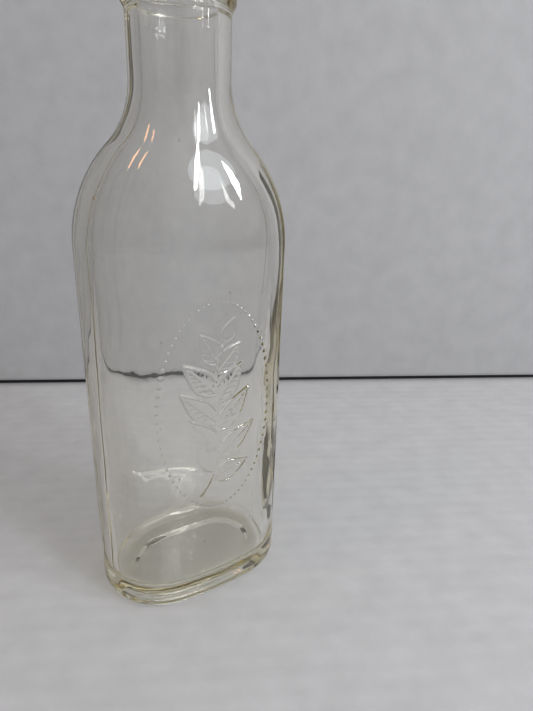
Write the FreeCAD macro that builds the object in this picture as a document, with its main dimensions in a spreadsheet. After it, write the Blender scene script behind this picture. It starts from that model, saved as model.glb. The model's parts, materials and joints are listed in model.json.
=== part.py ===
import FreeCAD
import Part
import Sketcher
import math
import os

# Oval glass bottle, open and empty: one blown piece of clear glass.
# The origin is the middle of the foot, +Z runs up the neck, X along the broad width
# and Y through the two flat faces. Everything is in millimetres.
#
# Going up, the outside is a rounded heel, a straight barrel of oval plan, a shoulder
# that draws the oval in to the round neck, a bead that stands proud of the neck, and
# the finish that a closure fits. The cavity follows it at the glass's thickness.

# Driving sizes: each row is a name, which is also the cell's alias, and its value.
SIZES = (
    # oval plan of the barrel
    ("body_width", 63.5),
    ("body_depth", 44.2),
    ("face_bulge", 0.7),
    # heights, stacked from the foot up
    ("straight_height", 116.2),
    ("shoulder_height", 43.8),
    ("neck_height", 14.6),
    ("bead_height", 7.2),
    ("finish_height", 8.7),
    # outside of the shoulder, neck, bead and finish
    ("shoulder_radius", 39.0),
    ("neck_diameter", 27.4),
    ("bead_diameter", 29.8),
    ("finish_diameter", 25.4),
    ("lip_radius", 1.2),
    # foot
    ("heel_radius", 4.5),
    ("bearing_width", 3.0),
    ("push_up_depth", 1.4),
    ("push_up_slope", 5.0),
    # glass thickness and the cavity
    ("face_wall", 3.0),
    ("end_wall", 4.2),
    ("shoulder_drop", 1.6),
    ("base_thickness", 6.4),
    ("floor_radius", 4.0),
    ("bore_diameter", 20.4),
    ("mouth_diameter", 18.6),
    ("mouth_radius", 0.8),
)

# Sections of the shoulder, as shares of each arc's turn: first up the convex arc that
# leaves the barrel, then up the concave arc that runs into the neck.
CONVEX_STEPS = (0.0, 0.1, 0.3, 0.55, 0.8, 1.0)
CONCAVE_STEPS = (0.8, 0.55, 0.3, 0.1, 0.0)
SECTIONS = range(len(CONVEX_STEPS) + len(CONCAVE_STEPS))

# A body's own coordinate planes.
LEVEL = "XY_Plane"
UPRIGHT = "XZ_Plane"

# Ends and centre of a sketched line or arc, and the sketch's origin and upright axis.
START = 1
END = 2
CENTRE = 3
ORIGIN = (-1, 1)
UP_AXIS = -2

# An edge counts as level when its ends differ in height by less than this.
LEVEL_TOLERANCE = 1e-4


def make_sheet(doc):
    """Put every driving size in a cell that carries its name."""
    sheet = doc.addObject("Spreadsheet::Sheet", "sizes")
    for row, (name, value) in enumerate(SIZES, start=1):
        sheet.set(f"A{row}", name)
        sheet.set(f"B{row}", str(value))
        sheet.setAlias(f"B{row}", name)
    doc.recompute()
    return sheet


def make_derived(doc):
    """Work out what follows from the driving sizes, each value by an expression."""
    derived = doc.addObject("App::VarSet", "derived")

    def follow(name, expression, kind="App::PropertyFloat"):
        derived.addProperty(kind, name, "Derived")
        derived.setExpression(name, expression)
        doc.recompute()

    # Heights above the foot.
    follow("neck_foot", "sizes.straight_height + sizes.shoulder_height")
    follow("bead_foot", "neck_foot + sizes.neck_height")
    follow("bead_crest", "bead_foot + sizes.bead_height / 2")
    follow("finish_foot", "bead_foot + sizes.bead_height")
    follow("top", "finish_foot + sizes.finish_height")

    # An oval plan is four tangent arcs: two end arcs centred on X and two flatter face
    # arcs centred on Y. The link joins the centres of an end arc and a face arc, the
    # lean is its angle, and those arcs meet on it. When the centres are drawn in to
    # the axis, what is left is a circle of the round radius.
    plans = {
        "outer": ("0", "0", "sizes.neck_diameter"),
        "inner": ("sizes.end_wall", "sizes.face_wall", "sizes.bore_diameter"),
    }
    for plan, (end_wall, face_wall, round_diameter) in plans.items():
        follow(f"{plan}_end", f"sizes.body_depth / 2 - {face_wall} - sizes.face_bulge")
        follow(f"{plan}_offset", f"sizes.body_width / 2 - {end_wall} - {plan}_end")
        square_gap = f"({plan}_offset ^ 2 - sizes.face_bulge ^ 2)"
        follow(f"{plan}_rise", f"{square_gap} / (2 * sizes.face_bulge)")
        follow(f"{plan}_link", f"sqrt({plan}_offset ^ 2 + {plan}_rise ^ 2)")
        follow(f"{plan}_lean", f"atan({plan}_rise / {plan}_offset)", "App::PropertyAngle")
        follow(f"{plan}_round", f"{round_diameter} / 2")

    # The shoulder, seen from the broad side, is a convex arc out of the barrel and a
    # concave arc into the neck, tangent to each other after the same turn.
    follow("reach", "(sizes.body_width - sizes.neck_diameter) / 2")
    follow("arc_sum", "(reach ^ 2 + sizes.shoulder_height ^ 2) / (2 * reach)")
    follow("neck_arc_radius", "arc_sum - sizes.shoulder_radius")
    follow("turn", "asin(sizes.shoulder_height / arc_sum)", "App::PropertyAngle")

    # Each section has a level, and a spread from 1 at the barrel's oval to 0 at the neck.
    levels = []
    spreads = []
    for step in CONVEX_STEPS:
        levels.append(f"sizes.straight_height + sizes.shoulder_radius * sin({step} * turn)")
        spreads.append(f"1 - sizes.shoulder_radius * (1 - cos({step} * turn)) / reach")
    for step in CONCAVE_STEPS:
        levels.append(f"neck_foot - neck_arc_radius * sin({step} * turn)")
        spreads.append(f"neck_arc_radius * (1 - cos({step} * turn)) / reach")
    for number in SECTIONS:
        follow(f"level_{number}", levels[number])
        follow(f"spread_{number}", spreads[number])
    return derived


def plane(body, role):
    """The body's own coordinate plane of that role."""
    for feature in body.Origin.OriginFeatures:
        if feature.Role == role:
            return feature
    raise RuntimeError(f"no {role} in {body.Label}")


def new_sketch(body, name, role):
    """An empty sketch on one of the body's coordinate planes."""
    sketch = body.newObject("Sketcher::SketchObject", name)
    sketch.AttachmentSupport = [(plane(body, role), "")]
    sketch.MapMode = "FlatFace"
    return sketch


def relate(sketch, kind, *places):
    """Add a relation between parts of the sketch, such as Tangent or Equal."""
    sketch.addConstraint(Sketcher.Constraint(kind, *places))


def measure(sketch, name, kind, places, expression):
    """Add a named dimension to the sketch and bind it to an expression."""
    value = float(derived.evalExpression(expression))
    index = sketch.addConstraint(Sketcher.Constraint(kind, *places, value))
    sketch.renameConstraint(index, name)
    sketch.setExpression(f"Constraints.{name}", expression)


def arc(centre, radius, start, end):
    """A sketched arc, counter-clockwise from one angle to another in radians."""
    circle = Part.Circle(FreeCAD.Vector(*centre, 0), FreeCAD.Vector(0, 0, 1), radius)
    return Part.ArcOfCircle(circle, start, end)


def line(start, end):
    """A sketched line between two points."""
    return Part.LineSegment(FreeCAD.Vector(*start, 0), FreeCAD.Vector(*end, 0))


def oval_sketch(body, name, plan, level, spread="1", inset="0"):
    """Sketch the outer or inner oval at a level, drawn in to its spread.

    The inset takes a band of that width off the plan all round.
    """
    sketch = new_sketch(body, name, LEVEL)
    sketch.setExpression("AttachmentOffset.Base.z", level)

    own = f"derived.{plan}"
    end_radius = f"({own}_round + ({own}_end - {own}_round) * {spread} - {inset})"
    face_radius = f"({end_radius} + {own}_link * {spread})"

    # The plan in plain numbers, for the sketch to start from.
    small = derived.evalExpression(end_radius)
    large = derived.evalExpression(face_radius)
    lean = math.radians(float(derived.evalExpression(f"{own}_lean")))
    side = derived.evalExpression(f"{own}_offset * {spread}")
    back = derived.evalExpression(f"{own}_rise * {spread}")

    right, top, left, bottom = range(4)
    arcs = [
        arc((side, 0), small, -lean, lean),
        arc((0, -back), large, lean, math.pi - lean),
        arc((-side, 0), small, math.pi - lean, math.pi + lean),
        arc((0, back), large, math.pi + lean, 2 * math.pi - lean),
    ]
    sketch.addGeometry(arcs, False)
    for before, after in ((right, top), (top, left), (left, bottom), (bottom, right)):
        relate(sketch, "Coincident", before, END, after, START)

    # The join of the right and top arcs is placed, and the others mirror it.
    measure(sketch, "join_x", "DistanceX", (*ORIGIN, right, END), f"{face_radius} * cos({own}_lean)")
    measure(sketch, "join_y", "DistanceY", (*ORIGIN, right, END), f"{end_radius} * sin({own}_lean)")
    relate(sketch, "Symmetric", right, END, top, END, UP_AXIS)
    relate(sketch, "Symmetric", right, END, left, END, *ORIGIN)
    relate(sketch, "Symmetric", top, END, bottom, END, *ORIGIN)
    measure(sketch, "end_radius", "Radius", (right,), end_radius)
    measure(sketch, "face_radius", "Radius", (top,), face_radius)
    relate(sketch, "Equal", right, left)
    relate(sketch, "Equal", top, bottom)
    return sketch


def neck_sketch(body):
    """Sketch the half section of the solid neck, bead and finish."""
    sketch = new_sketch(body, "neck_section", UPRIGHT)
    neck = derived.outer_round
    bead = sheet.bead_diameter / 2
    finish = sheet.finish_diameter / 2
    lip = sheet.lip_radius
    rise = sheet.bead_height / 2

    # Each side of the bead is two tangent arcs of one radius, in an S.
    lower = ((bead - neck) ** 2 + rise**2) / (4 * (bead - neck))
    upper = ((bead - finish) ** 2 + rise**2) / (4 * (bead - finish))
    lower_turn = math.asin(rise / (2 * lower))
    upper_turn = math.asin(rise / (2 * upper))

    sketch.addGeometry(
        [
            line((0, derived.neck_foot), (neck, derived.neck_foot)),
            line((neck, derived.neck_foot), (neck, derived.bead_foot)),
            arc((neck + lower, derived.bead_foot), lower, math.pi - lower_turn, math.pi),
            arc((bead - lower, derived.bead_crest), lower, -lower_turn, 0),
            arc((bead - upper, derived.bead_crest), upper, 0, upper_turn),
            arc((finish + upper, derived.finish_foot), upper, math.pi, math.pi + upper_turn),
            line((finish, derived.finish_foot), (finish, derived.top - lip)),
            arc((finish - lip, derived.top - lip), lip, 0, math.pi / 2),
            line((finish - lip, derived.top), (0, derived.top)),
            line((0, derived.top), (0, derived.neck_foot)),
        ],
        False,
    )
    foot, wall, flare, swell, fall, waist, land, edge, cap, axis = range(10)

    relate(sketch, "Coincident", foot, END, wall, START)
    relate(sketch, "Tangent", wall, END, flare, END)
    relate(sketch, "Tangent", flare, START, swell, START)
    relate(sketch, "Tangent", swell, END, fall, START)
    relate(sketch, "Tangent", fall, END, waist, END)
    relate(sketch, "Tangent", waist, START, land, START)
    relate(sketch, "Tangent", land, END, edge, START)
    relate(sketch, "Tangent", edge, END, cap, START)
    relate(sketch, "Coincident", cap, END, axis, START)
    relate(sketch, "Coincident", axis, END, foot, START)

    relate(sketch, "Horizontal", foot)
    relate(sketch, "Vertical", wall)
    relate(sketch, "Vertical", land)
    relate(sketch, "Horizontal", cap)
    relate(sketch, "Vertical", axis)
    relate(sketch, "PointOnObject", axis, END, UP_AXIS)
    relate(sketch, "Horizontal", swell, CENTRE, swell, END)
    relate(sketch, "Equal", flare, swell)
    relate(sketch, "Equal", fall, waist)

    measure(sketch, "neck_radius", "DistanceX", (*ORIGIN, wall, START), "derived.outer_round")
    measure(sketch, "bead_radius", "DistanceX", (*ORIGIN, swell, END), "sizes.bead_diameter / 2")
    measure(sketch, "finish_radius", "DistanceX", (*ORIGIN, land, END), "sizes.finish_diameter / 2")
    measure(sketch, "lip_radius", "Radius", (edge,), "sizes.lip_radius")
    measure(sketch, "neck_foot", "DistanceY", (*ORIGIN, foot, END), "derived.neck_foot")
    measure(sketch, "bead_foot", "DistanceY", (*ORIGIN, wall, END), "derived.bead_foot")
    measure(sketch, "bead_crest", "DistanceY", (*ORIGIN, swell, END), "derived.bead_crest")
    measure(sketch, "finish_foot", "DistanceY", (*ORIGIN, land, START), "derived.finish_foot")
    measure(sketch, "top", "DistanceY", (*ORIGIN, cap, END), "derived.top")
    return sketch


def bore_sketch(body):
    """Sketch the half section of the bore, which narrows behind the bead."""
    sketch = new_sketch(body, "bore_section", UPRIGHT)
    bore = derived.inner_round
    mouth = sheet.mouth_diameter / 2
    floor = derived.neck_foot - sheet.shoulder_drop
    corners = (
        (0, floor),
        (bore, floor),
        (bore, derived.bead_foot),
        (mouth, derived.finish_foot),
        (mouth, derived.top),
        (0, derived.top),
    )
    sketch.addGeometry([line(a, b) for a, b in zip(corners, corners[1:] + corners[:1])], False)
    foot, wall, taper, throat, cap, axis = range(6)
    for before, after in zip(range(6), (wall, taper, throat, cap, axis, foot)):
        relate(sketch, "Coincident", before, END, after, START)

    relate(sketch, "Horizontal", foot)
    relate(sketch, "Vertical", wall)
    relate(sketch, "Vertical", throat)
    relate(sketch, "Horizontal", cap)
    relate(sketch, "Vertical", axis)
    relate(sketch, "PointOnObject", axis, END, UP_AXIS)

    measure(sketch, "bore_radius", "DistanceX", (*ORIGIN, wall, START), "derived.inner_round")
    measure(sketch, "mouth_radius", "DistanceX", (*ORIGIN, throat, START), "sizes.mouth_diameter / 2")
    level = "derived.neck_foot - sizes.shoulder_drop"
    measure(sketch, "foot", "DistanceY", (*ORIGIN, foot, END), level)
    measure(sketch, "taper_foot", "DistanceY", (*ORIGIN, wall, END), "derived.bead_foot")
    measure(sketch, "taper_top", "DistanceY", (*ORIGIN, taper, END), "derived.finish_foot")
    measure(sketch, "top", "DistanceY", (*ORIGIN, throat, END), "derived.top")
    return sketch


def loft(body, kind, name, sketches):
    """A smooth loft through the sketches, in order."""
    feature = body.newObject(kind, name)
    feature.Profile = sketches[0]
    feature.Sections = sketches[1:]
    doc.recompute()
    return feature


def turned(body, kind, name, sketch):
    """A full turn of the sketch about its upright axis."""
    feature = body.newObject(kind, name)
    feature.Profile = sketch
    feature.ReferenceAxis = (sketch, ["V_Axis"])
    feature.Angle = 360
    doc.recompute()
    return feature


def level_edges(shape, level, widest):
    """Names of the edges that lie flat at a level, no further out in X than widest."""
    names = []
    for number, edge in enumerate(shape.Edges, start=1):
        box = edge.BoundBox
        off_level = max(abs(box.ZMin - level), abs(box.ZMax - level))
        if off_level < LEVEL_TOLERANCE and max(-box.XMin, box.XMax) < widest:
            names.append(f"Edge{number}")
    return names


def rounded(body, name, base, edges, radius):
    """Round the named edges of a feature."""
    fillet = body.newObject("PartDesign::Fillet", name)
    fillet.Base = (base, edges)
    fillet.setExpression("Radius", radius)
    doc.recompute()
    return fillet


def add_outside(body):
    """The solid outline: barrel, shoulder, neck, bead and finish, with a round heel."""
    barrel = body.newObject("PartDesign::Pad", "barrel")
    barrel.Profile = oval_sketch(body, "foot_plan", "outer", "0")
    barrel.setExpression("Length", "sizes.straight_height")
    doc.recompute()

    sections = [
        oval_sketch(body, f"shoulder_{n}", "outer", f"derived.level_{n}", f"derived.spread_{n}")
        for n in SECTIONS
    ]
    loft(body, "PartDesign::AdditiveLoft", "shoulder", sections)
    neck = turned(body, "PartDesign::Revolution", "neck", neck_sketch(body))

    heel = level_edges(neck.Shape, 0, sheet.body_width)
    return rounded(body, "heel", neck, heel, "sizes.heel_radius")


def add_cavity(body):
    """The hollow inside: barrel, shoulder and bore, with a round edge to its floor."""
    chamber = body.newObject("PartDesign::Pocket", "chamber")
    top_level = "sizes.straight_height - sizes.shoulder_drop"
    chamber.Profile = oval_sketch(body, "chamber_plan", "inner", top_level)
    chamber.setExpression("Length", f"{top_level} - sizes.base_thickness")
    doc.recompute()

    sections = [
        oval_sketch(
            body,
            f"cavity_{n}",
            "inner",
            f"derived.level_{n} - sizes.shoulder_drop",
            f"derived.spread_{n}",
        )
        for n in SECTIONS
    ]
    loft(body, "PartDesign::SubtractiveLoft", "cavity_shoulder", sections)
    bore = turned(body, "PartDesign::Groove", "bore", bore_sketch(body))

    floor = level_edges(bore.Shape, sheet.base_thickness, sheet.body_width)
    floor_round = rounded(body, "floor_round", bore, floor, "sizes.floor_radius")
    mouth = level_edges(floor_round.Shape, derived.top, sheet.mouth_diameter / 2 + LEVEL_TOLERANCE)
    return rounded(body, "mouth", floor_round, mouth, "sizes.mouth_radius")


def add_push_up(body):
    """The shallow dish under the base, inside the ring that the bottle stands on."""
    rim = "sizes.heel_radius + sizes.bearing_width"
    sketches = [
        oval_sketch(body, "push_up_rim", "outer", "0", inset=f"({rim})"),
        oval_sketch(
            body,
            "push_up_roof",
            "outer",
            "sizes.push_up_depth",
            inset=f"({rim} + sizes.push_up_slope)",
        ),
    ]
    return loft(body, "PartDesign::SubtractiveLoft", "push_up", sketches)


def check(doc, bodies):
    """Stop if anything failed to compute or a body isn't one valid solid."""
    for item in doc.Objects:
        if {"Invalid", "Error"} & set(item.State):
            raise RuntimeError(f"{item.Label} failed: {item.State}")
    for body in bodies:
        shape = body.Shape
        if shape.isNull() or not shape.isValid() or len(shape.Solids) != 1:
            raise RuntimeError(f"{body.Label} isn't one valid solid")


doc = FreeCAD.newDocument("bottle")
sheet = make_sheet(doc)
derived = make_derived(doc)

bottle = doc.addObject("PartDesign::Body", "bottle")
bottle.Label = "bottle"
outside = add_outside(bottle)
outside_volume = outside.Shape.Volume
hollow = add_cavity(bottle)
hollow_volume = hollow.Shape.Volume
add_push_up(bottle)
doc.recompute()
check(doc, [bottle])

# Each cut has to take glass away.
if not bottle.Shape.Volume < hollow_volume < outside_volume:
    raise RuntimeError("a cut took nothing away")

os.makedirs("parts", exist_ok=True)
bottle.Shape.exportStep(f"parts/{bottle.Label}.step")
box = bottle.Shape.BoundBox
print(f"{bottle.Label}: {box.XLength:.2f} x {box.YLength:.2f} x {box.ZLength:.2f} mm")
print(f"glass {bottle.Shape.Volume / 1000:.1f} cm3, cavity {(outside_volume - hollow_volume) / 1000:.1f} cm3")
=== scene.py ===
import json
import math
import random

import bmesh
import bpy
import numpy as np
from mathutils import Matrix, Vector, noise

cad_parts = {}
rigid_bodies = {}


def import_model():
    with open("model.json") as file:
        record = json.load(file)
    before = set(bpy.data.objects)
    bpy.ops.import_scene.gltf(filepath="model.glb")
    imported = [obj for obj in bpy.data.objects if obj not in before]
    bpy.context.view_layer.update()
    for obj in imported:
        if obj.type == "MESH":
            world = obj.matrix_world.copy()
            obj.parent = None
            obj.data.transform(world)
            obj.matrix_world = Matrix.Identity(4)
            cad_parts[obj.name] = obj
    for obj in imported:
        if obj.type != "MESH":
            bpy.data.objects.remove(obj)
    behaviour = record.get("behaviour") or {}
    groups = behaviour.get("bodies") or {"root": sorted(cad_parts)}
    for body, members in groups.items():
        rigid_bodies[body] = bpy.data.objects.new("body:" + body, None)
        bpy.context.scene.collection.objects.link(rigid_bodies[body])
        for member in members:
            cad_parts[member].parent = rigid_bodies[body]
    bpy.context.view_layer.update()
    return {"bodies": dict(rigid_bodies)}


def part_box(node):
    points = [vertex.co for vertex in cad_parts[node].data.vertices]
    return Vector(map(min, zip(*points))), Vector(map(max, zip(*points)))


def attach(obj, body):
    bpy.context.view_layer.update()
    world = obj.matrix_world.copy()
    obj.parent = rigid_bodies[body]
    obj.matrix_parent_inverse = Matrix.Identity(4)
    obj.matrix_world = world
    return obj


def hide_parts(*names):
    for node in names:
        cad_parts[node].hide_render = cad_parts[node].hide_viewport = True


# An open, empty oval bottle of clear, faintly straw-coloured glass, standing on a pale
# sheet before a grey backdrop. Everything is in metres: X runs along the bottle's broad
# width, its ornamented face looks to -Y, and it stands on z = 0.

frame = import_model()
LOW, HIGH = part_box("bottle")
WIDTH, DEPTH, HEIGHT = HIGH - LOW
ROOT = next(iter(frame["bodies"]))

# The outside of the glass, from the foot up.
FACE_BULGE = 0.0007
PUSH_UP_DEPTH = 0.0014
PUSH_UP_SLOPE = 0.005
BEARING_WIDTH = 0.003
HEEL_RADIUS = 0.0045
SHOULDER_FOOT = 0.1162
SHOULDER_RADIUS = 0.039
NECK_FOOT = 0.160
NECK_RADIUS = 0.0137
BEAD_FOOT = 0.1746
BEAD_RISE = 0.0036
BEAD_RADIUS = 0.0149
FINISH_FOOT = BEAD_FOOT + 2 * BEAD_RISE
FINISH_RADIUS = 0.0127
LIP_RADIUS = 0.0012

# The cavity.
FACE_WALL = 0.003
END_WALL = 0.0042
FLOOR_LEVEL = 0.0064
FLOOR_RADIUS = 0.004
SHOULDER_DROP = 0.0016
BORE_RADIUS = 0.0102
MOUTH_RADIUS = 0.0093
MOUTH_ROUND = 0.0008

# The closure's thread: one ridge that winds a little more than once round the finish.
THREAD_FOOT = 0.1834
THREAD_PITCH = 0.0042
THREAD_TURNS = 1.3
THREAD_HEIGHT = 0.00105
THREAD_HALF_WIDTH = 0.0013
THREAD_RUN_IN = 0.08

# Mould seams up the two narrow sides.
SEAM_HEIGHT = 0.00007
SEAM_HALF_WIDTH = 0.0003
SEAM_TOP = 0.174

# Fineness of the mesh: the grid's step, the finish's step, the turns in radians along the
# heel, the floor's edge, the rims and the bead, the shares along the push-up's slope, the
# middles of the base and the floor, and the cuts of each edge under the ornament.
GRID_STEP = 0.0013
LAND_STEP = 0.0004
HEEL_TURN = 0.15
FLOOR_TURN = 0.2
RIM_TURN = 0.3
BEAD_TURN = 0.12
SLOPE_SHARE = 0.125
BASE_MIDDLE = 0.12
BASE_SHARE = 0.11
FLOOR_MIDDLE = 0.08
FLOOR_SHARE = 0.1
ORNAMENT_CUTS = 5


def spaced(start, end, step):
    """Evenly spaced values from start to end, both included, no further apart than step."""
    return np.linspace(start, end, max(1, math.ceil(abs(end - start) / step)) + 1)


def ramp(value, low, high):
    """0 below low, 1 above high and smooth between; high may be the lower of the two."""
    share = np.clip((value - low) / (high - low), 0, 1)
    return share * share * (3 - 2 * share)


class Oval:
    """A plan of four tangent arcs, which a falling spread draws in to a circle.

    Two end arcs are centred on X and two flatter face arcs on Y. They are numbered from
    the one at +X round through +Y.
    """

    def __init__(self, width, depth, round_radius):
        self.end = depth / 2 - FACE_BULGE
        self.offset = width / 2 - self.end
        self.rise = (self.offset**2 - FACE_BULGE**2) / (2 * FACE_BULGE)
        self.link = math.hypot(self.offset, self.rise)
        self.lean = math.atan2(self.rise, self.offset)
        self.round = round_radius

    def columns(self, step):
        """Places round the plan, each as its arc's number and its share of that arc."""
        end_length = 2 * self.lean * self.end
        face_length = (math.pi - 2 * self.lean) * (self.end + self.link)
        marks = [0.5 + side * SEAM_HALF_WIDTH / end_length for side in (-1, -0.5, 0, 0.5, 1)]
        places = []
        for number in range(4):
            length = face_length if number % 2 else end_length
            shares = spaced(0, 1, step / length)[:-1]
            if number % 2 == 0:
                shares = np.union1d(shares, marks)
            places.extend((number, share) for share in shares)
        return np.array(places)

    def angles(self, columns):
        """The way the wall faces at each column, in radians from +X."""
        number, share = columns.T
        on_end = number % 2 == 0
        start = np.where(on_end, -self.lean, self.lean) + math.pi * (number // 2)
        sweep = np.where(on_end, 2 * self.lean, math.pi - 2 * self.lean)
        return start + share * sweep

    def points(self, columns, spread, inset):
        """x and y round the plan, after a band of the inset's width is taken off it."""
        number = columns[:, 0]
        angle = self.angles(columns)
        on_end = number % 2 == 0
        side = np.where(number < 2, 1, -1)
        radius = self.round + (self.end - self.round) * spread - inset
        radius = np.where(on_end, radius, radius + self.link * spread)
        x = np.where(on_end, side * self.offset * spread, 0) + radius * np.cos(angle)
        y = np.where(on_end, 0, -side * self.rise * spread) + radius * np.sin(angle)
        return x, y

    def face_normals(self, x):
        """Outward normals of the -Y face at places across it, and how far back it lies."""
        join = (self.end + self.link) * math.cos(self.lean)
        on_face = abs(x) < join
        across = np.where(on_face, x, np.sign(x) * np.maximum(abs(x) - self.offset, 0))
        radius = np.where(on_face, self.end + self.link, self.end)
        back = np.sqrt(radius**2 - np.minimum(across, radius) ** 2)
        y = np.where(on_face, self.rise, 0) - back
        return np.column_stack([across / radius, -back / radius, np.zeros_like(x)]), y


OUTER = Oval(WIDTH, DEPTH, NECK_RADIUS)
INNER = Oval(WIDTH - 2 * END_WALL, DEPTH - 2 * FACE_WALL, BORE_RADIUS)


# A ring is a plan with its spread, inset, level and scale about the upright axis.


def turned_rings(plan, profile):
    """Round rings at each radius and level of a profile."""
    return [(plan, 0, plan.round - radius, level, 1) for radius, level in profile]


def shoulder_rings(plan, drop):
    """Rings up the shoulder: a convex arc, then a concave one, tangent to it."""
    reach = WIDTH / 2 - NECK_RADIUS
    height = NECK_FOOT - SHOULDER_FOOT
    arc_sum = (reach**2 + height**2) / (2 * reach)
    neck_arc = arc_sum - SHOULDER_RADIUS
    turn = math.asin(height / arc_sum)
    rings = []
    for angle in spaced(0, turn, GRID_STEP / SHOULDER_RADIUS):
        level = SHOULDER_FOOT + SHOULDER_RADIUS * math.sin(angle) - drop
        rings.append((plan, 1 - SHOULDER_RADIUS * (1 - math.cos(angle)) / reach, 0, level, 1))
    for angle in spaced(turn, 0, GRID_STEP / neck_arc)[1:]:
        level = NECK_FOOT - neck_arc * math.sin(angle) - drop
        rings.append((plan, neck_arc * (1 - math.cos(angle)) / reach, 0, level, 1))
    return rings


def swell(radius, level, end_radius, end_level):
    """Radii and levels of an S from one radius to another: two tangent arcs of one size."""
    out = end_radius - radius
    up = end_level - level
    bend = (out**2 + up**2) / (4 * abs(out))
    side = math.copysign(1, out)
    turns = spaced(0, math.asin(up / (2 * bend)), BEAD_TURN)
    arc = [(side * bend * (1 - math.cos(turn)), bend * math.sin(turn)) for turn in turns]
    lower = [(radius + across, level + along) for across, along in arc]
    upper = [(end_radius - across, end_level - along) for across, along in reversed(arc)]
    return lower + upper[1:]


def outside_rings():
    """Rings from the middle of the base, up the outside, to the lip."""
    foot_inset = HEEL_RADIUS + BEARING_WIDTH
    roof_inset = foot_inset + PUSH_UP_SLOPE
    scales = spaced(BASE_MIDDLE, 1, BASE_SHARE)
    rings = [(OUTER, 1, roof_inset, PUSH_UP_DEPTH, scale) for scale in scales]
    for share in spaced(0, 1, SLOPE_SHARE)[1:]:
        level = PUSH_UP_DEPTH * (1 + math.cos(math.pi * share)) / 2
        rings.append((OUTER, 1, roof_inset - PUSH_UP_SLOPE * share, level, 1))
    bearing = spaced(foot_inset, HEEL_RADIUS, GRID_STEP)[1:]
    rings += [(OUTER, 1, inset, 0, 1) for inset in bearing]
    for turn in spaced(0, math.pi / 2, HEEL_TURN)[1:]:
        inset = HEEL_RADIUS * (1 - math.sin(turn))
        rings.append((OUTER, 1, inset, HEEL_RADIUS * (1 - math.cos(turn)), 1))
    barrel = spaced(HEEL_RADIUS, SHOULDER_FOOT, GRID_STEP)[1:-1]
    rings += [(OUTER, 1, 0, level, 1) for level in barrel]
    rings += shoulder_rings(OUTER, 0)

    crest = BEAD_FOOT + BEAD_RISE
    profile = [(NECK_RADIUS, level) for level in spaced(NECK_FOOT, BEAD_FOOT, GRID_STEP)[1:-1]]
    profile += swell(NECK_RADIUS, BEAD_FOOT, BEAD_RADIUS, crest)
    profile += swell(BEAD_RADIUS, crest, FINISH_RADIUS, FINISH_FOOT)[1:]
    land = spaced(FINISH_FOOT, HEIGHT - LIP_RADIUS, LAND_STEP)[1:]
    profile += [(FINISH_RADIUS, level) for level in land]
    for turn in spaced(0, math.pi / 2, RIM_TURN)[1:]:
        radius = FINISH_RADIUS - LIP_RADIUS * (1 - math.cos(turn))
        profile.append((radius, HEIGHT - LIP_RADIUS * (1 - math.sin(turn))))
    return rings + turned_rings(OUTER, profile)


def inside_rings():
    """Rings from the lip, down the mouth and the cavity, to the middle of its floor."""
    profile = []
    for turn in spaced(0, math.pi / 2, RIM_TURN):
        radius = MOUTH_RADIUS + MOUTH_ROUND * (1 - math.sin(turn))
        profile.append((radius, HEIGHT - MOUTH_ROUND * (1 - math.cos(turn))))
    throat = spaced(HEIGHT - MOUTH_ROUND, FINISH_FOOT, GRID_STEP)[1:-1]
    profile += [(MOUTH_RADIUS, level) for level in throat]
    profile += reversed(swell(BORE_RADIUS, BEAD_FOOT, MOUTH_RADIUS, FINISH_FOOT))
    bore = spaced(BEAD_FOOT, NECK_FOOT - SHOULDER_DROP, GRID_STEP)[1:-1]
    profile += [(BORE_RADIUS, level) for level in bore]

    rings = turned_rings(INNER, profile)
    rings += reversed(shoulder_rings(INNER, SHOULDER_DROP))
    chamber_foot = FLOOR_LEVEL + FLOOR_RADIUS
    chamber = spaced(SHOULDER_FOOT - SHOULDER_DROP, chamber_foot, GRID_STEP)[1:]
    rings += [(INNER, 1, 0, level, 1) for level in chamber]
    for turn in spaced(0, math.pi / 2, FLOOR_TURN)[1:]:
        inset = FLOOR_RADIUS * (1 - math.cos(turn))
        rings.append((INNER, 1, inset, chamber_foot - FLOOR_RADIUS * math.sin(turn), 1))
    floor = spaced(1, FLOOR_MIDDLE, FLOOR_SHARE)[1:]
    return rings + [(INNER, 1, FLOOR_RADIUS, FLOOR_LEVEL, scale) for scale in floor]


def thread(angle, level):
    """How far the thread stands out of the finish at each angle, at one level."""
    height = np.zeros_like(angle)
    for whole in range(math.ceil(THREAD_TURNS)):
        along = np.mod(angle / (2 * math.pi), 1) + whole
        off_ridge = (level - THREAD_FOOT - THREAD_PITCH * along) / THREAD_HALF_WIDTH
        fade = np.clip(np.minimum(along, THREAD_TURNS - along) / THREAD_RUN_IN, 0, 1)
        ridge = np.sqrt(np.clip(1 - off_ridge**2, 0, 1)) * np.sin(fade * math.pi / 2)
        height = np.maximum(height, THREAD_HEIGHT * ridge)
    return height


def seam(columns, level):
    """How far the mould seams stand out at each column, at one level."""
    number, share = columns.T
    length = 2 * OUTER.lean * OUTER.end
    off_seam = np.where(number % 2 == 0, abs(share - 0.5) * length, SEAM_HALF_WIDTH)
    ridge = np.clip(1 - (off_seam / SEAM_HALF_WIDTH) ** 2, 0, 1)
    return SEAM_HEIGHT * ridge * ramp(level, HEEL_RADIUS, 2 * HEEL_RADIUS) * (level < SEAM_TOP)


def wobble(points, size, height, seed):
    """Smooth unevenness from -1 to 1 at each point, with features of that size and height."""
    scale = Vector((1 / size, 1 / size, 1 / height))
    values = []
    for point in points:
        spot = Vector(point) * scale + Vector((0, 0, seed))
        values.append(noise.noise(spot) + 0.35 * noise.noise(2.3 * spot))
    return np.array(values)


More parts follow.
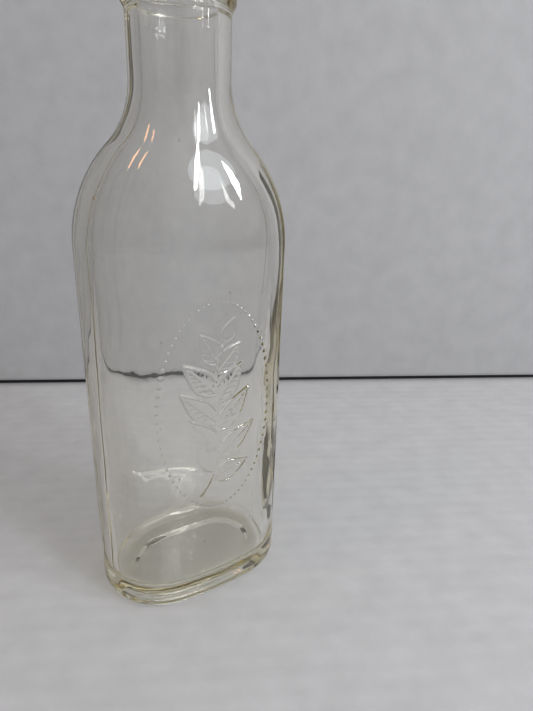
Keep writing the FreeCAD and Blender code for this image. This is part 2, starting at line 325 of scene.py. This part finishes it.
# Unevenness of the glass. Round the inside, one front corner is thin high on the barrel and
# heavy low on it, the faces draw thin upwards, and one faint wave runs round low on the
# shoulder. Each waviness gives its features' size and height, its seed and its depth.
THIN_CORNER = math.radians(-35)
THIN_CORNER_SPREAD = math.radians(50)
THIN_CORNER_DEPTH = 0.0012
THIN_CORNER_FOOT = (0.082, 0.112)
THIN_CORNER_TOP = (0.150, 0.125)
HEAVY_CORNER_DEPTH = 0.0008
HEAVY_CORNER_TOP = (0.086, 0.068)
HEAVY_CORNER_FOOT = (0.012, 0.03)
FACE_DRAW = 0.0010
FACE_DRAW_RISE = (0.062, 0.100)
FACE_DRAW_TOP = (0.150, 0.120)
FACE_SHARPNESS = 8
WAVE_LEVEL = 0.131
WAVE_TILT = 0.002
WAVE_HALF_HEIGHT = 0.003
WAVE_DEPTH = 0.00007
BROAD_WAVES = (0.016, 0.034, 7.7)
BROAD_DEPTH = 0.00016
FINE_WAVES = (0.005, 0.014, 1.9)
FINE_DEPTH = 0.00005
RIPPLE_WAVES = (0.009, 0.020, 3.1)
RIPPLE_DEPTH = 0.00006


def outer_ripple(points):
    """How far the outer skin's slight ripple stands out at each point."""
    return RIPPLE_DEPTH * wobble(points, *RIPPLE_WAVES)


def outside_shift(columns, points, level):
    """How far the outer wall stands out of its nominal place at each column of a ring."""
    angle = OUTER.angles(columns)
    if level > FINISH_FOOT:
        return thread(angle, level)
    ripple = outer_ripple(points) * ramp(level, 0, HEEL_RADIUS)
    return ripple + seam(columns, level)


def inside_shift(columns, points, level):
    """How far the inner wall stands out of its nominal place, which thins the glass."""
    angle = np.mod(INNER.angles(columns) + math.pi, 2 * math.pi) - math.pi
    corner = np.clip(1 - ((angle - THIN_CORNER) / THIN_CORNER_SPREAD) ** 2, 0, 1) ** 2
    high = ramp(level, *THIN_CORNER_FOOT) * ramp(level, *THIN_CORNER_TOP)
    thin = THIN_CORNER_DEPTH * corner * high
    heavy = HEAVY_CORNER_DEPTH * corner * ramp(level, *HEAVY_CORNER_TOP)
    thin -= heavy * ramp(level, *HEAVY_CORNER_FOOT)
    draw = FACE_DRAW * abs(np.sin(angle)) ** FACE_SHARPNESS
    thin += draw * (ramp(level, *FACE_DRAW_RISE) - 0.5) * ramp(level, *FACE_DRAW_TOP)
    off_wave = (level - WAVE_LEVEL - WAVE_TILT * np.sin(angle + 1)) / WAVE_HALF_HEIGHT
    settle = WAVE_DEPTH * np.exp(-(off_wave**2))
    waves = BROAD_DEPTH * wobble(points, *BROAD_WAVES) + FINE_DEPTH * wobble(points, *FINE_WAVES)
    return thin + settle + waves * ramp(level, HEIGHT, BEAD_FOOT)


def ring_points(ring, columns):
    """The vertices of one ring, with the glass's unevenness above the base."""
    plan, spread, inset, level, scale = ring
    x, y = plan.points(columns, spread, inset)
    points = np.column_stack([x * scale, y * scale, np.full_like(x, level)])
    if scale < 1 or level < PUSH_UP_DEPTH:
        return points
    angle = plan.angles(columns)
    shift = outside_shift if plan is OUTER else inside_shift
    out = shift(columns, points, level)
    return points + np.column_stack([out * np.cos(angle), out * np.sin(angle), 0 * out])


def bottle_shell():
    """The whole skin of the glass as one closed mesh, outside then inside."""
    columns = OUTER.columns(GRID_STEP)
    count = len(columns)
    rings = outside_rings() + inside_rings()
    points = np.vstack([ring_points(ring, columns) for ring in rings])
    shell = bmesh.new()
    verts = [shell.verts.new(point) for point in points]
    rows = [verts[start : start + count] for start in range(0, len(verts), count)]
    for row, above in zip(rows, rows[1:]):
        for here in range(count):
            after = (here + 1) % count
            shell.faces.new((row[here], row[after], above[after], above[here]))
    for row, level, step in ((rows[0], PUSH_UP_DEPTH, -1), (rows[-1], FLOOR_LEVEL, 1)):
        middle = shell.verts.new((0, 0, level))
        for here in range(count):
            fan = (middle, row[here], row[(here + 1) % count])
            shell.faces.new(fan[::step])
    return shell


# Ornament: a leafy sprig with berries in an oval of beads, raised on the front. First the
# patch that it lies in, and how far past its own shapes the mesh is made fine.
ORNAMENT_BOTTOM = 0.034
ORNAMENT_TOP = 0.107
ORNAMENT_SIDE = 0.0205
FINE_MARGIN = 0.0009

# The stem: its curve's four points across and up the front, its steps and its ridge.
STEM = ((-0.006, 0.042), (0.007, 0.056), (-0.006, 0.076), (0.002, 0.092))
STEM_STEPS = 40
STEM_HALF_WIDTH = 0.00065
STEM_HEIGHT = 0.00055

# The leaves: each pair's step on the stem and its length, how far they turn from the stem
# at its foot and how much less at each step, and the leaf at the tip.
LEAF_PAIRS = ((5, 0.0130), (11, 0.0155), (18, 0.0160), (25, 0.0140), (32, 0.0110))
LEAF_TURN = 52
LEAF_TURN_FALL = 0.5
LEAF_WIDTH = 0.0062
TIP_LENGTH = 0.0075
TIP_WIDTH = 0.0042
LINE_HALF_WIDTH = 0.0005
LINE_HEIGHT = 0.0005
RIB_HALF_WIDTH = 0.0004
RIB_SHARE = 0.85
VEIN_STEP = 0.0021
VEIN_HALF_WIDTH = 0.0003
VEIN_HEIGHT = 0.00014
PAD_HEIGHT = 0.00016
PAD_EDGE = 0.0006

# The berries in threes, each three by its step on the stem and its side of it, and the
# string of beads.
BERRY_PLACES = ((8, 1), (15, -1), (22, 1), (29, -1))
BERRY_OFF_STEM = 0.0042
BERRY_RISE = 0.0002
BERRY_SPREAD = 0.0012
BERRY_RADIUS = 0.00095
BERRY_HEIGHT = 0.0005
BEAD_COUNT = 76
STRING_LEVEL = 0.0705
STRING_HALF_WIDTH = 0.0185
STRING_HALF_HEIGHT = 0.0335
BEAD_HALF_WIDTH = 0.0006
BEAD_HEIGHT = 0.0004


def bezier(points, count):
    """Points along a cubic curve."""
    share = np.linspace(0, 1, count)[:, None]
    a, b, c, d = (np.array(point) for point in points)
    rest = 1 - share
    return rest**3 * a + 3 * rest**2 * share * b + 3 * rest * share**2 * c + share**3 * d


def line_distance(x, z, path):
    """Distance from each place to a path of straight steps."""
    nearest = np.full_like(x, 1.0)
    for (x0, z0), (x1, z1) in zip(path, path[1:]):
        along = ((x - x0) * (x1 - x0) + (z - z0) * (z1 - z0)) / ((x1 - x0) ** 2 + (z1 - z0) ** 2)
        along = np.clip(along, 0, 1)
        gap = np.hypot(x - x0 - along * (x1 - x0), z - z0 - along * (z1 - z0))
        nearest = np.minimum(nearest, gap)
    return nearest


def ridge(gap, half_width, height):
    """A round-topped ridge of that width and height along whatever the gap is from."""
    return height * np.clip(1 - (gap / half_width) ** 2, 0, 1) ** 2


def leaf(x, z, base, heading, length, width):
    """Height of one leaf: a raised edge, a midrib and side veins on a low pad."""
    along = (x - base[0]) * math.cos(heading) + (z - base[1]) * math.sin(heading)
    across = (z - base[1]) * math.cos(heading) - (x - base[0]) * math.sin(heading)
    share = np.clip(along / length, 0, 1)
    half = width / 2 * np.sin(math.pi * share**0.8) * (1.1 - 0.2 * share)
    inside = half - abs(across)
    past = np.maximum(along - length, 0) + np.maximum(-along, 0)
    edge = ridge(np.hypot(inside * 0.85, past), LINE_HALF_WIDTH, LINE_HEIGHT)
    past_rib = past + np.maximum(along - RIB_SHARE * length, 0)
    rib = ridge(np.hypot(across, past_rib), RIB_HALF_WIDTH, LINE_HEIGHT)
    vein_gap = np.mod(along - 0.9 * abs(across), VEIN_STEP) - VEIN_STEP / 2
    vein = ridge(vein_gap, VEIN_HALF_WIDTH, VEIN_HEIGHT) * (inside > VEIN_HALF_WIDTH)
    pad = PAD_HEIGHT * ramp(inside, 0, PAD_EDGE)
    return np.where(past > FINE_MARGIN, 0, np.maximum(np.maximum(edge, rib), pad + vein))


def ornament(x, z):
    """Height of the ornament at each place across and up the front."""
    stem = bezier(STEM, STEM_STEPS)
    height = ridge(line_distance(x, z, stem), STEM_HALF_WIDTH, STEM_HEIGHT)
    for place, length in LEAF_PAIRS:
        run = stem[place + 1] - stem[place - 1]
        heading = math.atan2(run[1], run[0])
        for side in (-1, 1):
            base = stem[place + (side + 1)]
            turn = heading + side * math.radians(LEAF_TURN - LEAF_TURN_FALL * place)
            height = np.maximum(height, leaf(x, z, base, turn, length, LEAF_WIDTH))
    tip_run = stem[-1] - stem[-3]
    tip_heading = math.atan2(tip_run[1], tip_run[0])
    tip = leaf(x, z, stem[-1], tip_heading, TIP_LENGTH, TIP_WIDTH)
    height = np.maximum(height, tip)
    for x0, z0 in berries(stem):
        dome = np.clip(1 - ((x - x0) ** 2 + (z - z0) ** 2) / BERRY_RADIUS**2, 0, 1)
        height = np.maximum(height, BERRY_HEIGHT * np.sqrt(dome))
    for x0, z0 in beads():
        bead = ridge(np.hypot(x - x0, z - z0), BEAD_HALF_WIDTH, BEAD_HEIGHT)
        height = np.maximum(height, bead)
    return height


def berries(stem):
    """Centres of the berries, in threes beside the stem between the leaves."""
    places = []
    for place, side in BERRY_PLACES:
        middle = stem[place] + np.array([side * BERRY_OFF_STEM, BERRY_RISE])
        for turn in (90, 210, 330):
            angle = math.radians(turn)
            places.append(middle + BERRY_SPREAD * np.array([math.cos(angle), math.sin(angle)]))
    return places


def beads():
    """Centres of the beads in the oval string round the sprig."""
    places = []
    for step in range(BEAD_COUNT):
        turn = 2 * math.pi * step / BEAD_COUNT
        up = STRING_LEVEL + STRING_HALF_HEIGHT * math.sin(turn)
        places.append((STRING_HALF_WIDTH * math.cos(turn), up))
    return places


def under_ornament(points, margin):
    """Which of the points lie on the front's outside, by that margin within the ornament."""
    x, y, z = points.T
    inside = (abs(x) < ORNAMENT_SIDE - margin) & (z > ORNAMENT_BOTTOM + margin)
    inside &= z < ORNAMENT_TOP - margin
    _, face = OUTER.face_normals(np.clip(x, -ORNAMENT_SIDE, ORNAMENT_SIDE))
    return inside & (abs(y - face) < FACE_WALL / 2)


def raise_ornament(shell):
    """Refine the front under the ornament and raise it by the ornament's height."""
    faces = list(shell.faces)
    centres = np.array([face.calc_center_median() for face in faces])
    ornate = np.zeros(len(faces), bool)
    for step_x in (-FINE_MARGIN, 0, FINE_MARGIN):
        for step_z in (-FINE_MARGIN, 0, FINE_MARGIN):
            ornate |= ornament(centres[:, 0] + step_x, centres[:, 2] + step_z) > 0
    ornate &= under_ornament(centres, 0)
    edges = {edge for face, chosen in zip(faces, ornate) if chosen for edge in face.edges}
    bmesh.ops.subdivide_edges(shell, edges=list(edges), cuts=ORNAMENT_CUTS, use_grid_fill=True)

    verts = list(shell.verts)
    points = np.array([vert.co for vert in verts])
    front = np.flatnonzero(under_ornament(points, -GRID_STEP))
    x, _, z = points[front].T
    normals, y = OUTER.face_normals(x)
    skin = np.column_stack([x, y, z])
    height = outer_ripple(skin) + ornament(x, z)
    for index, place in zip(front, skin + normals * height[:, None]):
        verts[index].co = place


BUBBLE_COUNT = 14
BUBBLE_SEED = 11
BUBBLE_LEVELS = (0.02, 0.15)
BUBBLE_RADII = (0.00012, 0.00026)
BUBBLE_INSET = 0.0015
BUBBLE_STRETCH = 1.8
BUBBLE_SHOULDER_SPREAD = 0.8


def add_bubbles(shell):
    """Tiny bubbles shut in the glass, each a small closed skin that faces into itself."""
    draw = random.Random(BUBBLE_SEED)
    for _ in range(BUBBLE_COUNT):
        level = draw.uniform(*BUBBLE_LEVELS)
        column = np.array([[draw.choice((1, 3)), draw.random()]])
        radius = draw.uniform(*BUBBLE_RADII)
        spread = 1 if level < SHOULDER_FOOT else BUBBLE_SHOULDER_SPREAD
        x, y = OUTER.points(column, spread, BUBBLE_INSET)
        stretch = Matrix.Diagonal((1, 1, BUBBLE_STRETCH, 1))
        place = Matrix.Translation((x[0], y[0], level)) @ stretch
        made = bmesh.ops.create_icosphere(shell, subdivisions=2, radius=radius, matrix=place)
        faces = {face for vert in made["verts"] for face in vert.link_faces}
        bmesh.ops.reverse_faces(shell, faces=list(faces))


def new_object(name, data):
    """An object in the scene, with that mesh, lamp or camera as its data."""
    made = bpy.data.objects.new(name, data)
    bpy.context.scene.collection.objects.link(made)
    return made


def new_piece(name, shell, material):
    """A smooth object made of the bmesh, which is used up."""
    mesh = bpy.data.meshes.new(name)
    shell.to_mesh(mesh)
    shell.free()
    mesh.shade_smooth()
    mesh.materials.append(material)
    return new_object(name, mesh)


# Shader maths: a socket that Python's operators work on, and a tree that makes nodes.


class Socket:
    """A node's output. An expression on it adds Math nodes to its tree."""

    def __init__(self, tree, output):
        self.tree = tree
        self.output = output

    def maths(self, operation, *values):
        return self.tree.add("ShaderNodeMath", {"operation": operation}, dict(enumerate(values)))

    def __add__(self, other):
        return self.maths("ADD", self, other)

    __radd__ = __add__

    def __mul__(self, other):
        return self.maths("MULTIPLY", self, other)

    __rmul__ = __mul__

    def __sub__(self, other):
        return self.maths("SUBTRACT", self, other)

    def __rsub__(self, other):
        return self.maths("SUBTRACT", other, self)

    def at_most(self, other):
        return self.maths("MINIMUM", self, other)

    def at_least(self, other):
        return self.maths("MAXIMUM", self, other)

    def sine(self):
        return self.maths("SINE", self)


class Tree:
    """The node tree of a material or a world."""

    def __init__(self, owner):
        owner.use_nodes = True
        self.tree = owner.node_tree
        self.tree.nodes.clear()

    def add(self, kind, settings=None, sockets=None, output=0):
        """Add a node, set its settings and then its sockets, and return one output."""
        node = self.tree.nodes.new(kind)
        for name, value in (settings or {}).items():
            setattr(node, name, value)
        for name, value in (sockets or {}).items():
            if isinstance(value, Socket):
                self.tree.links.new(value.output, node.inputs[name])
            else:
                node.inputs[name].default_value = value
        return Socket(self, node.outputs[output]) if node.outputs else node

    def noise(self, place, scale, detail):
        """A noise of that scale and detail over a place."""
        return self.add(
            "ShaderNodeTexNoise", sockets={"Vector": place, "Scale": scale, "Detail": detail}
        )


def rgba(colour):
    """A colour with full alpha."""
    return (*colour, 1.0)


def tinted(tree, factor, first, second):
    """A colour mixed from two by a factor."""
    return tree.add(
        "ShaderNodeMix",
        {"data_type": "RGBA"},
        {"Factor": factor, "A": first, "B": second},
        output="Result",
    )


# The glass: its tint in depth, the painted shade that greys the upper skin between two
# levels, its orange-peel and scuffs, and what it lets through to soft light and to lamps.
GLASS_IOR = 1.5
GLASS_TINT = (0.85, 0.80, 0.53)
GLASS_TINT_DENSITY = 25.0
PAINTED_UPPER_SHADE = (0.948, 0.946, 0.948)
UPPER_SHADE_FOOT = 0.06
UPPER_SHADE_SLOPE = 25.0
PEEL_SCALE = 260.0
PEEL_STRENGTH = 0.03
PEEL_DISTANCE = 0.0004
SCUFF_SCALE = 900.0
SCUFF_START = 0.62
SCUFF_ROUGHNESS = 0.4
SOFT_LIGHT_THROUGH = (0.94, 0.94, 0.93)
LAMP_LIGHT_THROUGH = (0.70, 0.70, 0.69)


def glass_material():
    """Clear glass, straw-coloured in depth, faintly orange-peeled, with fine scuffs."""
    material = bpy.data.materials.new("glass")
    tree = Tree(material)
    place = tree.add("ShaderNodeTexCoord", output="Object")
    peel = tree.noise(place, PEEL_SCALE, 2.0)
    bump = tree.add(
        "ShaderNodeBump",
        sockets={"Height": peel, "Strength": PEEL_STRENGTH, "Distance": PEEL_DISTANCE},
    )
    scuff = tree.noise(place, SCUFF_SCALE, 4.0)
    level = tree.add("ShaderNodeSeparateXYZ", sockets={0: place}, output="Z")
    # Painted shade: the glass's colour greys upward between two levels, dimming the upper glass.
    painted_upper_dimming = ((level - UPPER_SHADE_FOOT) * UPPER_SHADE_SLOPE).at_least(0.0).at_most(1.0)
    glass = tree.add(
        "ShaderNodeBsdfPrincipled",
        sockets={
            "Base Color": tinted(tree, painted_upper_dimming, rgba((1, 1, 1)), rgba(PAINTED_UPPER_SHADE)),
            "Transmission Weight": 1.0,
            "IOR": GLASS_IOR,
            "Roughness": (scuff - SCUFF_START).at_least(0.0) * SCUFF_ROUGHNESS,
            "Normal": bump,
        },
    )
    clear = tree.add("ShaderNodeBsdfTransparent", sockets={"Color": rgba(SOFT_LIGHT_THROUGH)})
    for_bounces = tree.add("ShaderNodeLightPath", output="Is Diffuse Ray")
    bright = tree.add("ShaderNodeMixShader", sockets={0: for_bounces, 1: glass, 2: clear})
    shade = tree.add("ShaderNodeBsdfTransparent", sockets={"Color": rgba(LAMP_LIGHT_THROUGH)})
    for_lamps = tree.add("ShaderNodeLightPath", output="Is Shadow Ray")
    skin = tree.add("ShaderNodeMixShader", sockets={0: for_lamps, 1: bright, 2: shade})
    tint = tree.add(
        "ShaderNodeVolumeAbsorption",
        sockets={"Color": rgba(GLASS_TINT), "Density": GLASS_TINT_DENSITY},
    )
    tree.add("ShaderNodeOutputMaterial", sockets={"Surface": skin, "Volume": tint})
    return material


GRIME_DARK = (0.22, 0.13, 0.06)
GRIME_PALE = (0.42, 0.28, 0.16)
GRIME_SCALE = 2500.0


def speck_material():
    """Brown grime, unevenly dark."""
    material = bpy.data.materials.new("grime")
    tree = Tree(material)
    place = tree.add("ShaderNodeTexCoord", output="Object")
    grain = tree.noise(place, GRIME_SCALE, 2.0)
    colour = tinted(tree, grain, rgba(GRIME_DARK), rgba(GRIME_PALE))
    dirt = tree.add("ShaderNodeBsdfPrincipled", sockets={"Base Color": colour, "Roughness": 0.9})
    tree.add("ShaderNodeOutputMaterial", sockets={"Surface": dirt})
    return material


def make_bottle():
    """The bottle's glass."""
    shell = bottle_shell()
    raise_ornament(shell)
    add_bubbles(shell)
    piece = new_piece("bottle_glass", shell, glass_material())
    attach(piece, ROOT)
    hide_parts("bottle")


SPECK_PLACE = (-0.0275, -0.0076, 0.1307)
SPECK_TURN = math.radians(205)
SPECK_RADIUS = 0.00045
SPECK_FLATNESS = (1, 0.75, 0.35)
SPECK_ROUGHNESS = 0.08
SPECK_SEED = 5


def make_speck():
    """A speck of grime on the left shoulder of the barrel."""
    draw = random.Random(SPECK_SEED)
    speck = bmesh.new()
    turn = Matrix.Rotation(math.pi / 2, 4, "Y") @ Matrix.Diagonal((*SPECK_FLATNESS, 1))
    place = Matrix.Translation(SPECK_PLACE) @ Matrix.Rotation(SPECK_TURN, 4, "Z") @ turn
    bmesh.ops.create_icosphere(speck, subdivisions=3, radius=SPECK_RADIUS, matrix=place)
    for vert in speck.verts:
        push = Vector([draw.uniform(-1, 1) for _ in range(3)])
        vert.co += push * SPECK_ROUGHNESS * SPECK_RADIUS
    piece = new_piece("speck", speck, speck_material())
    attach(piece, ROOT)


# The studio's sheet and backdrop: their colours, the painted shade of the gap between them,
# the painted soft shade on the backdrop's foot, and the paper's mottle, flutes and grain.
SHEET_HALF = 2.0
SHEET_COLOUR = (0.52, 0.52, 0.53)
BACKDROP_COLOUR = (0.39, 0.39, 0.40)
BACKDROP_HEIGHT = 2.0
BACKDROP_DISTANCE = 0.1583
BACKDROP_HEADING = math.radians(63.6)
BACKDROP_GAP = 0.0020
PAINTED_GAP_SHADE = (0.02, 0.02, 0.022)
PAINTED_FOOT_SHADE = 0.6
PAINTED_FOOT_SHADE_WIDTH = 0.009
PAINTED_FOOT_SHADE_RISE = 0.004
PAINTED_FOOT_SHADE_COLOUR = (0.03, 0.03, 0.03)
MOTTLE = 0.12
MOTTLE_SCALE = 90.0
FLUTE_STEP = 0.0067
FLUTE_HEIGHT = 0.00003
GRAIN_HEIGHT = 0.0003
PAPER_ROUGHNESS = 0.8

# Dark flags beside the bottle. Each has a name, the place it stands away from and how
# far, its azimuth and half its spread in degrees, its foot, and its top at either end.
FLAG_COLOUR = (0.055, 0.050, 0.038)
RIGHT_END = (0.031, -0.005)
LEFT_END = (-0.031, 0.005)
FLAGS = (
    ("flag_right_high", RIGHT_END, 0.016, 14, 15, 0.056, 0.150, 0.150),
    ("flag_right_low", RIGHT_END, 0.016, 18, 11, 0.002, 0.036, 0.044),
    ("flag_right_back", RIGHT_END, 0.016, 70, 11, 0.002, 0.048, 0.034),
    ("flag_left_high", LEFT_END, 0.120, 72, 8, 0.0, 0.200, 0.200),
    ("flag_left_low", LEFT_END, 0.016, 74, 9, 0.002, 0.050, 0.050),
)


def backdrop_way():
    """The level direction from the bottle to the backdrop."""
    return Vector((math.cos(BACKDROP_HEADING), math.sin(BACKDROP_HEADING), 0))


def facing(tree, way, goal):
    """How far a way reaches along a goal."""
    return tree.add(
        "ShaderNodeVectorMath", {"operation": "DOT_PRODUCT"}, {0: way, 1: goal}, output="Value"
    )


def paper_material(name, colour):
    """Matt paper, faintly mottled and fluted, with painted soft shade along the backdrop's foot.

    It shows from its front alone.
    """
    material = bpy.data.materials.new(name)
    tree = Tree(material)
    place = tree.add("ShaderNodeTexCoord", output="Object")
    mottle = tree.noise(place, MOTTLE_SCALE, 8.0)
    dark, pale = (rgba(np.multiply(colour, 1 + side * MOTTLE)) for side in (-1, 1))
    tone = tinted(tree, mottle, dark, pale)
    # Painted shade: the paper's colour darkens towards near-black close to the backdrop's foot.
    reach = facing(tree, place, backdrop_way())
    near = (1 - (BACKDROP_DISTANCE - reach) * (1 / PAINTED_FOOT_SHADE_WIDTH)).at_least(0.0).at_most(1.0)
    height = tree.add("ShaderNodeSeparateXYZ", sockets={0: place}, output="Z")
    low = (1 - height * (1 / PAINTED_FOOT_SHADE_RISE)).at_least(0.0)
    shade = near * near * low * PAINTED_FOOT_SHADE
    flutes = (reach * (2 * math.pi / FLUTE_STEP)).sine()
    grain = flutes * FLUTE_HEIGHT + mottle * GRAIN_HEIGHT
    paper = tree.add(
        "ShaderNodeBsdfPrincipled",
        sockets={
            "Base Color": tinted(tree, shade, tone, rgba(PAINTED_FOOT_SHADE_COLOUR)),
            "Roughness": PAPER_ROUGHNESS,
            "Normal": tree.add("ShaderNodeBump", sockets={"Height": grain, "Distance": 1.0}),
        },
    )
    from_behind = tree.add("ShaderNodeNewGeometry", output="Backfacing")
    clear = tree.add("ShaderNodeBsdfTransparent")
    sides = tree.add("ShaderNodeMixShader", sockets={0: from_behind, 1: paper, 2: clear})
    tree.add("ShaderNodeOutputMaterial", sockets={"Surface": sides})
    return material


def painted_gap_shade_material():
    """The near-black of the narrow gap under the backdrop, painted shade where light would not
    reach.
    """
    material = bpy.data.materials.new("gap")
    tree = Tree(material)
    shade = tree.add("ShaderNodeBsdfDiffuse", sockets={"Color": rgba(PAINTED_GAP_SHADE)})
    tree.add("ShaderNodeOutputMaterial", sockets={"Surface": shade})
    return material


def flag_material():
    """A dark flag that only reflections see, so that it darkens the glass's edges."""
    material = bpy.data.materials.new("flag")
    tree = Tree(material)
    depth = tree.add("ShaderNodeLightPath", output="Glossy Depth")
    clear = tree.add("ShaderNodeBsdfTransparent")
    dark = tree.add("ShaderNodeEmission", sockets={"Color": rgba(FLAG_COLOUR)})
    seen = tree.add("ShaderNodeMixShader", sockets={0: depth.at_most(1.0), 1: clear, 2: dark})
    tree.add("ShaderNodeOutputMaterial", sockets={"Surface": seen})
    return material


def stage_card(name, corners, material):
    """A flat card of the studio, which isn't part of the bottle."""
    card = bmesh.new()
    card.faces.new([card.verts.new(corner) for corner in corners])
    piece = new_piece(name, card, material)
    return piece


def backdrop_card(name, low, high, material):
    """A strip of the backdrop's plane between two levels, facing the bottle."""
    way = backdrop_way()
    along = Vector((way.y, -way.x, 0)) * SHEET_HALF
    foot = way * BACKDROP_DISTANCE
    left, right = foot - along, foot + along
    corners = [(left, low), (right, low), (right, high), (left, high)]
    stage_card(name, [(end.x, end.y, level) for end, level in corners], material)


def make_stage():
    """The pale sheet, the grey backdrop over its gap, painted shade in the gap, and the dark
    flags.
    """
    corners = ((-1, -1), (1, -1), (1, 1), (-1, 1))
    sheet = [(x * SHEET_HALF, y * SHEET_HALF, 0) for x, y in corners]
    stage_card("floor", sheet, paper_material("sheet", SHEET_COLOUR))
    backdrop = paper_material("backdrop", BACKDROP_COLOUR)
    backdrop_card("backdrop", BACKDROP_GAP, BACKDROP_HEIGHT, backdrop)
    # Painted shade: a near-black card fills the gap under the backdrop.
    backdrop_card("gap", 0, BACKDROP_GAP, painted_gap_shade_material())

    flag = flag_material()
    for name, tip, reach, azimuth, spread, low, *tops in FLAGS:
        ends = [math.radians(azimuth + side * spread) for side in (-1, 1)]
        first, last = ((tip[0] + reach * math.cos(a), tip[1] + reach * math.sin(a)) for a in ends)
        corners = [(*first, low), (*last, low), (*last, tops[1]), (*first, tops[0])]
        piece = stage_card(name, corners, flag)
        piece.visible_camera = False
        piece.visible_diffuse = False
        piece.visible_shadow = False


# Light. Each lamp has a name, its azimuth and elevation in degrees, its two spreads in
# degrees, its lean in degrees, its strength and its colour. It stands at one distance from
# a goal on the upright axis, which is given as a share of the bottle's height.
LAMP_DISTANCE = 0.8
LAMP_GOAL = 0.7
WINDOW_PLACE = (-61, 29.5)
PALE_LIGHT = (0.88, 0.95, 1.0)
WHITE_LIGHT = (1.0, 1.0, 1.0)
WARM_LIGHT = (1.0, 0.5, 0.2)
LAMPS = (
    ("window", WINDOW_PLACE, (26, 23), 0, 3.0, PALE_LIGHT),
    ("pane_left", (-69, 32), (2.8, 27), -16, 37.0, WHITE_LIGHT),
    ("pane_right", (-50, 22), (2.8, 20), 0, 37.0, WHITE_LIGHT),
    ("warm", (176, 53), (2.5, 18), 28, 14.0, WARM_LIGHT),
)

# The room: its light on dull surfaces, its light seen through the glass, and what the
# glass mirrors of it, which is dim with a glow round the window, patches and a pale top.
ROOM_COLOUR = (0.97, 0.98, 1.0)
SOFT_LIGHT = 0.70
SEEN_LIGHT = 0.55
MIRRORED_LIGHT = 0.14
GLOW = 0.8
GLOW_START = 0.45
GLOW_SLOPE = 1.8
PATCHES = 0.9
PATCH_SCALE = 5.0
PATCH_START = 0.45
OVERHEAD = 1.3
OVERHEAD_START = 0.6


def make_world():
    """Soft light from all round: pale where seen through, a dim uneven room where mirrored."""
    world = bpy.data.worlds.new("studio")
    bpy.context.scene.world = world
    tree = Tree(world)
    soft = tree.add("ShaderNodeLightPath", output="Is Diffuse Ray")
    mirrored = tree.add("ShaderNodeLightPath", output="Glossy Depth").at_most(1.0)
    way = tree.add("ShaderNodeTexCoord", output="Generated")
    window = facing(tree, way, lamp_way(*WINDOW_PLACE))
    glow = ((window - GLOW_START) * GLOW_SLOPE).at_least(0.0)
    patches = (tree.noise(way, PATCH_SCALE, 2.0) - PATCH_START).at_least(0.0)
    height = tree.add("ShaderNodeSeparateXYZ", sockets={0: way}, output="Z")
    overhead = (height - OVERHEAD_START).at_least(0.0) * OVERHEAD
    room = MIRRORED_LIGHT + GLOW * glow * glow + PATCHES * patches + overhead
    seen = SEEN_LIGHT + mirrored * (room - SEEN_LIGHT)
    light = tree.add(
        "ShaderNodeBackground",
        sockets={"Color": rgba(ROOM_COLOUR), "Strength": seen + soft * (SOFT_LIGHT - seen)},
    )
    tree.add("ShaderNodeOutputWorld", sockets={"Surface": light})


def lamp_way(azimuth, elevation):
    """The direction from the bottle at that azimuth and elevation, in degrees."""
    across, up = math.radians(azimuth), math.radians(elevation)
    return Vector((math.cos(across) * math.cos(up), math.sin(across) * math.cos(up), math.sin(up)))


def make_lamps():
    """A dim window with two bright panes, and a small warm lamp high on the left.

    Each is an oval area lamp that faces the shoulder, with the light that the rectangle
    round it would give if its radiance were the lamp's strength.
    """
    for name, place, spreads, lean, strength, colour in LAMPS:
        lamp = bpy.data.lights.new(name, "AREA")
        lamp.shape = "ELLIPSE"
        sizes = [2 * LAMP_DISTANCE * math.tan(math.radians(spread) / 2) for spread in spreads]
        lamp.size, lamp.size_y = sizes
        lamp.color = colour
        lamp.energy = strength * math.pi * lamp.size * lamp.size_y
        piece = new_object(name, lamp)
        way = lamp_way(*place)
        piece.location = Vector((0, 0, LAMP_GOAL * HEIGHT)) + LAMP_DISTANCE * way
        piece.rotation_mode = "QUATERNION"
        turn = Matrix.Rotation(math.radians(lean), 4, "Z").to_quaternion()
        piece.rotation_quaternion = way.to_track_quat("Z", "Y") @ turn


# The camera: its place, its heading, pitch and roll in degrees, and its lens and sensor
# in millimetres.
CAMERA_PLACE = (-0.06469, -0.147419, 0.14445)
CAMERA_ANGLES = (32.836, 21.574, -2.022)
CAMERA_LENS = 26.941
CAMERA_SENSOR = 36
CAMERA_CLIP = 0.005


def make_camera():
    """The camera: to the bottle's front left, level with its shoulder, looking down."""
    heading, pitch, roll = (math.radians(angle) for angle in CAMERA_ANGLES)
    ahead = Vector((math.sin(heading), math.cos(heading), -math.tan(pitch))).normalized()
    level = Vector((math.cos(heading), -math.sin(heading), 0))
    below = ahead.cross(level)
    right = math.cos(roll) * level + math.sin(roll) * below
    down = math.cos(roll) * below - math.sin(roll) * level
    data = bpy.data.cameras.new("camera")
    data.sensor_width = CAMERA_SENSOR
    data.lens = CAMERA_LENS
    data.clip_start = CAMERA_CLIP
    camera = new_object("camera", data)
    turn = Matrix((right, -down, -ahead)).transposed().to_4x4()
    camera.matrix_world = Matrix.Translation(CAMERA_PLACE) @ turn
    bpy.context.scene.camera = camera


# How often a ray may bounce in all and through glass, off a mirror, and through clear skins.
GLASS_BOUNCES = 64
MIRROR_BOUNCES = 48
CLEAR_BOUNCES = 24


def set_scene():
    """Plain colours, and enough bounces that light leaves the thick glass edges."""
    scene = bpy.context.scene
    scene.view_settings.view_transform = "Standard"
    scene.cycles.caustics_reflective = False
    scene.cycles.caustics_refractive = False
    scene.cycles.max_bounces = GLASS_BOUNCES
    scene.cycles.transmission_bounces = GLASS_BOUNCES
    scene.cycles.glossy_bounces = MIRROR_BOUNCES
    scene.cycles.transparent_max_bounces = CLEAR_BOUNCES


make_bottle()
make_speck()
make_stage()
make_world()
make_lamps()
make_camera()
set_scene()
